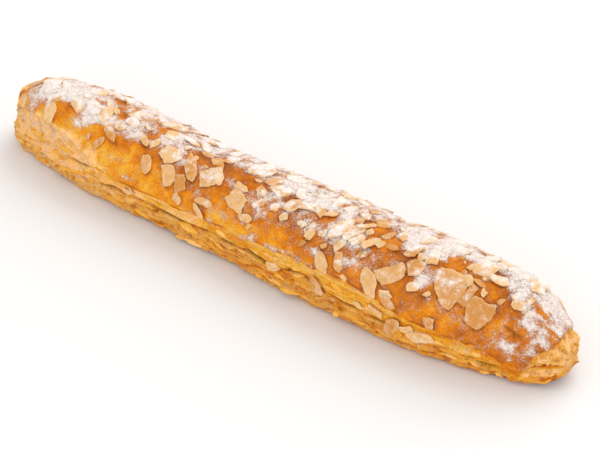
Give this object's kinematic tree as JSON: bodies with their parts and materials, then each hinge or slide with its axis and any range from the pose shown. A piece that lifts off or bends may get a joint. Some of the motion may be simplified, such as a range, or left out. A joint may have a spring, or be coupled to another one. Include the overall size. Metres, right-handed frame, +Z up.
{
  "type": "almond pastry log",
  "caption": "Long rounded puff pastry log with a split side seam, a glazed domed top, flaked almonds and icing sugar.",
  "frame": {"origin": "on the surface the log rests on, under the middle of its length and width", "axes": "+X along the log towards its near end, -Y towards its front side, +Z up"},
  "size_m": [0.32, 0.0565, 0.0397],
  "materials": {
    "crust": "baked golden puff pastry, egg glazed and lightly glossy on the dome, dry and flaky on the sides",
    "almond": "flaked almonds, cream with toasted edges",
    "sugar": "dusted icing sugar, matt white"
  },
  "bodies": {
    "root": {"pastry_log": "crust"}
  },
  "joints": []
}
